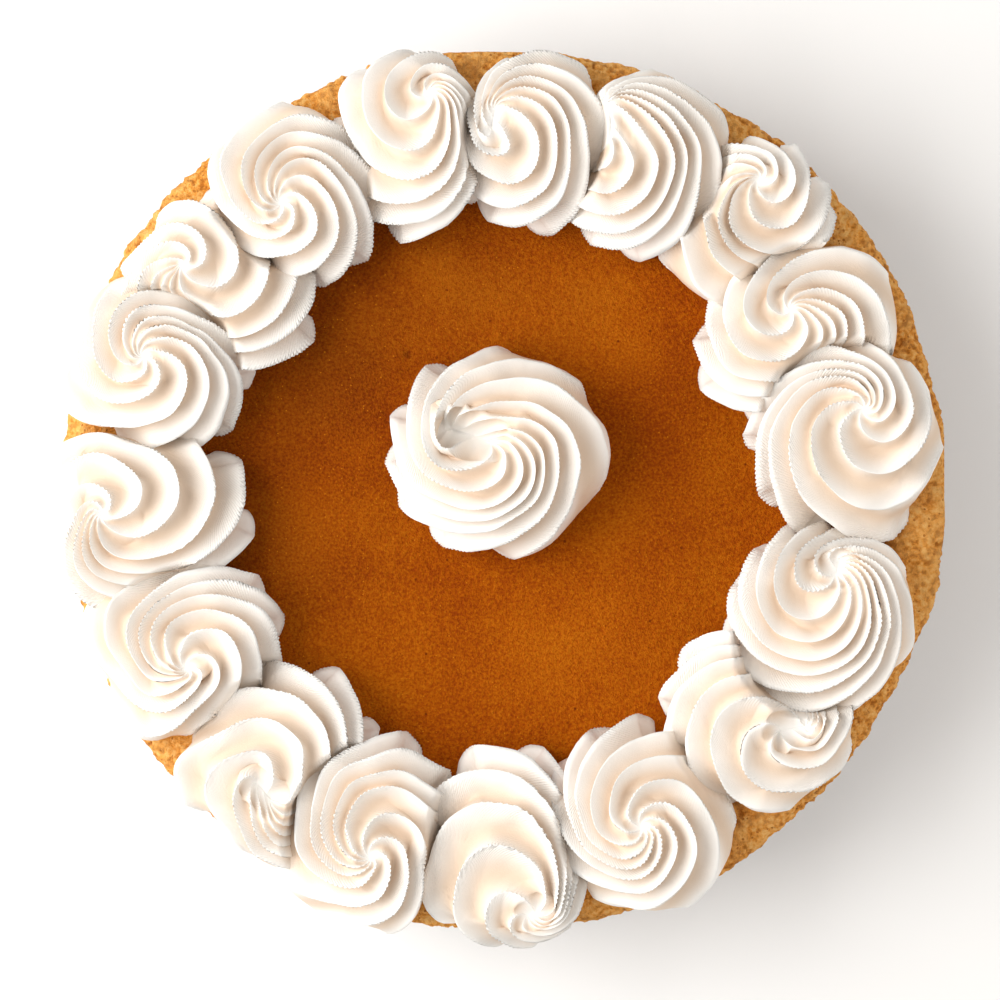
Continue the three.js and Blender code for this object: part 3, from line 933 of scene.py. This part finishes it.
class PieTinSettings(bpy.types.PropertyGroup):
    """Sizes of the tin."""

    steps: IntProperty(
        name="Steps round", description="Facets around the tin", default=256, min=24,
    )
    sheet: FloatProperty(
        name="Sheet", description="Thickness of the pressed sheet",
        default=0.9 * MM, unit="LENGTH",
    )
    dents: FloatProperty(
        name="Dents", description="Depth of the dents in the wall",
        default=0.3 * MM, unit="LENGTH",
    )


class PieCrustSettings(bpy.types.PropertyGroup):
    """How rough the crust's rim is."""

    steps: IntProperty(
        name="Steps round", description="Steps around the rim", default=1240, min=48,
    )
    bulge: FloatProperty(
        name="Bulge", description="How far the rim bulges and pinches",
        default=1.1 * MM, unit="LENGTH",
    )
    lumps: FloatProperty(
        name="Lumps", description="Height of the broad lumps", default=1.1 * MM, unit="LENGTH",
    )
    blisters: FloatProperty(
        name="Blisters", description="Height of the blisters", default=0.9 * MM, unit="LENGTH",
    )
    crumbs: FloatProperty(
        name="Crumbs", description="Height of the crumbs", default=1.35 * MM, unit="LENGTH",
    )
    pits: FloatProperty(
        name="Pits", description="Depth of the pits", default=0.45 * MM, unit="LENGTH",
    )
    margin: FloatProperty(
        name="Margin", description="Where points near the box are eased back",
        default=1.6 * MM, unit="LENGTH",
    )
    bias: FloatProperty(
        name="Wide side", description="How much wider the rim is on one side",
        default=2.1 * MM, unit="LENGTH",
    )
    cracks: FloatProperty(
        name="Cracks", description="Depth of the cracks", default=0.8 * MM, unit="LENGTH",
    )


class PieFillingSettings(bpy.types.PropertyGroup):
    """How even the filling is."""

    rings: IntProperty(
        name="Rings", description="Rings from the middle to the brim", default=130, min=8,
    )
    steps: IntProperty(
        name="Steps round", description="Steps around each ring", default=420, min=24,
    )
    swell: FloatProperty(
        name="Swell", description="Height of the broad swells", default=0.35 * MM, unit="LENGTH",
    )
    grain: FloatProperty(
        name="Grain", description="Height of the fine grain", default=0.06 * MM, unit="LENGTH",
    )


class PieSwirlSettings(bpy.types.PropertyGroup):
    """Shape and colours of the piped cream."""

    ridges: IntProperty(
        name="Ridges", description="Ridges that wind out of each eye", default=8, min=5,
    )
    rows: IntProperty(name="Rows", description="Steps along each ridge", default=250, min=20)
    inset: FloatProperty(
        name="Inset", description="How far the dome stays inside the crest tips",
        default=0.9 * MM, unit="LENGTH",
    )
    margin: FloatProperty(
        name="Margin", description="Where points near the box are eased back",
        default=1.6 * MM, unit="LENGTH",
    )
    crowd: FloatProperty(
        name="Crowding", description="How much ridges crowd on the lobed side", default=0.4,
    )
    uneven: FloatProperty(
        name="Unevenness", description="How unevenly the ridges are spaced", default=0.14,
    )
    wander: FloatProperty(
        name="Wander", description="How far the swirl is pushed out of shape",
        default=1.6 * MM, unit="LENGTH",
    )
    flute_depth: FloatProperty(
        name="Flute depth", description="Depth of the hollows between ridges",
        default=4.8 * MM, unit="LENGTH",
    )
    flute_share: FloatProperty(
        name="Flute share", description="Most depth as a share of the way between ridges",
        default=0.74,
    )
    lean: FloatProperty(
        name="Lean", description="How far each crest leans outward",
        default=0.8 * MM, unit="LENGTH",
    )
    tips: FloatProperty(
        name="Tips", description="How far crests stick out on the lobed side",
        default=2.4 * MM, unit="LENGTH",
    )
    notches: FloatProperty(
        name="Notches", description="Depth of the notches in a crest",
        default=0.24 * MM, unit="LENGTH",
    )
    notch_spacing: FloatProperty(
        name="Notch spacing", description="Distance between the notches",
        default=1.35 * MM, unit="LENGTH",
    )
    rib_spacing: FloatProperty(
        name="Rib spacing", description="Distance between the ribs beside a crest",
        default=0.95 * MM, unit="LENGTH",
    )
    lumps: FloatProperty(
        name="Lumps", description="Height of the soft lumps", default=0.45 * MM, unit="LENGTH",
    )
    crest_colour: FloatVectorProperty(
        name="Crest colour", description="Colour of the crests",
        default=(0.97, 0.955, 0.925), size=3, subtype="COLOR",
    )
    # painted shade: the colour the cream is darkened to deep in the flutes
    flute_shade_colour: FloatVectorProperty(
        name="Flute colour", description="Colour deep in the flutes",
        default=(0.78, 0.62, 0.48), size=3, subtype="COLOR",
    )


class PieStageSettings(bpy.types.PropertyGroup):
    """The lights and the view."""

    key_power: FloatProperty(
        name="Key power", description="Power of the large soft light", default=12.0,
    )
    key_size: FloatProperty(
        name="Key size", description="Side of the large soft light", default=0.9, unit="LENGTH",
    )
    fill: FloatProperty(
        name="Fill", description="Strength of the light from all round", default=0.56,
    )
    warm_power: FloatProperty(
        name="Warm power", description="Power of the weak warm light", default=1.1,
    )
    warm_size: FloatProperty(
        name="Warm size", description="Side of the weak warm light", default=0.7, unit="LENGTH",
    )
    view_height: FloatProperty(
        name="View height", description="Height of the camera", default=1.2, unit="LENGTH",
    )
    view_width: FloatProperty(
        name="View width", description="Width seen at the pie's top", default=0.282, unit="LENGTH",
    )


class PIE_OT_tin(bpy.types.Operator):
    """Presses the tin"""

    bl_idname = "pie.tin"
    bl_label = "Press the tin"

    def execute(self, context):
        mesh = tin_mesh(context.scene.pie_tin)
        place_piece("tin_shell", mesh, pressed_tin_material(), "pressed_tin", "pie_tin")
        return {"FINISHED"}


class PIE_OT_crust(bpy.types.Operator):
    """Bakes the crust"""

    bl_idname = "pie.crust"
    bl_label = "Bake the crust"

    def execute(self, context):
        mesh = crust_mesh(context.scene.pie_crust)
        place_piece("crust_shell", mesh, baked_crust_material(), "baked_crust", "pie_crust")
        return {"FINISHED"}


class PIE_OT_filling(bpy.types.Operator):
    """Pours the filling"""

    bl_idname = "pie.filling"
    bl_label = "Pour the filling"

    def execute(self, context):
        mesh = filling_mesh(context.scene.pie_filling)
        material = set_pumpkin_material()
        place_piece("filling_surface", mesh, material, "pumpkin_filling", "pumpkin_filling")
        return {"FINISHED"}


class PIE_OT_cream(bpy.types.Operator):
    """Pipes every cream swirl"""

    bl_idname = "pie.cream"
    bl_label = "Pipe the cream"

    def execute(self, context):
        look = context.scene.pie_swirls
        material = whipped_cream_material(look)
        for number, (key, swirl) in enumerate(SWIRLS.items()):
            node = "cream_rosette_" + key
            mesh = swirl_mesh(node, swirl, look, number + 1)
            place_piece(node + "_piped", mesh, material, "whipped_cream", node)
        return {"FINISHED"}


class PIE_OT_stage(bpy.types.Operator):
    """Makes the pale floor, the lights and the camera"""

    bl_idname = "pie.stage"
    bl_label = "Set the stage"

    def execute(self, context):
        scene = context.scene
        look = scene.pie_stage
        scene.view_settings.view_transform = "Standard"
        floor_mesh = bpy.data.meshes.new("floor")
        half = 3.0
        corners = [(-half, -half, 0), (half, -half, 0), (half, half, 0), (-half, half, 0)]
        floor_mesh.from_pydata(corners, [], [(0, 1, 2, 3)])
        floor_mesh.materials.append(new_material("pale_floor", (0.92, 0.92, 0.92), 0.9)[0])
        floor = bpy.data.objects.new("floor", floor_mesh)
        scene.collection.objects.link(floor)

        world = bpy.data.worlds.new("studio")
        world.use_nodes = True
        background = world.node_tree.nodes["Background"]
        background.inputs["Color"].default_value = (1, 0.985, 0.965, 1)
        background.inputs["Strength"].default_value = look.fill
        scene.world = world

        add_lamp("key", look.key_power, look.key_size, (1, 0.98, 0.95), (-0.72, 0.04, 0.6))
        add_lamp("warm", look.warm_power, look.warm_size, (1, 0.9, 0.8), (0.6, -0.1, 0.4))

        camera = bpy.data.cameras.new("camera")
        camera.lens = camera.sensor_width * (look.view_height - PIE_TOP) / look.view_width
        camera_object = bpy.data.objects.new("camera", camera)
        camera_object.location = (*CAMERA_PLACE, look.view_height)
        scene.collection.objects.link(camera_object)
        scene.camera = camera_object
        return {"FINISHED"}


class PIE_PT_panel(bpy.types.Panel):
    """Lists the steps in the sidebar"""

    bl_idname = "PIE_PT_panel"
    bl_label = "Pumpkin Pie"
    bl_space_type = "VIEW_3D"
    bl_region_type = "UI"
    bl_category = "Pie"

    def draw(self, context):
        for step in STEPS:
            self.layout.operator(step.bl_idname)


STEPS = (PIE_OT_tin, PIE_OT_crust, PIE_OT_filling, PIE_OT_cream, PIE_OT_stage)
SETTINGS = {
    "pie_tin": PieTinSettings,
    "pie_crust": PieCrustSettings,
    "pie_filling": PieFillingSettings,
    "pie_swirls": PieSwirlSettings,
    "pie_stage": PieStageSettings,
}


def register():
    """Adds the settings, the steps and the panel."""
    for cls in (*SETTINGS.values(), *STEPS, PIE_PT_panel):
        bpy.utils.register_class(cls)
    for key, cls in SETTINGS.items():
        setattr(bpy.types.Scene, key, PointerProperty(type=cls))


def unregister():
    """Takes them away again."""
    for key in SETTINGS:
        delattr(bpy.types.Scene, key)
    for cls in (PIE_PT_panel, *reversed(STEPS), *reversed(SETTINGS.values())):
        bpy.utils.unregister_class(cls)


def main():
    """Makes the whole pie."""
    register()
    bpy.ops.pie.tin()
    bpy.ops.pie.crust()
    bpy.ops.pie.filling()
    bpy.ops.pie.cream()
    bpy.ops.pie.stage()


if __name__ == "__main__":
    main()
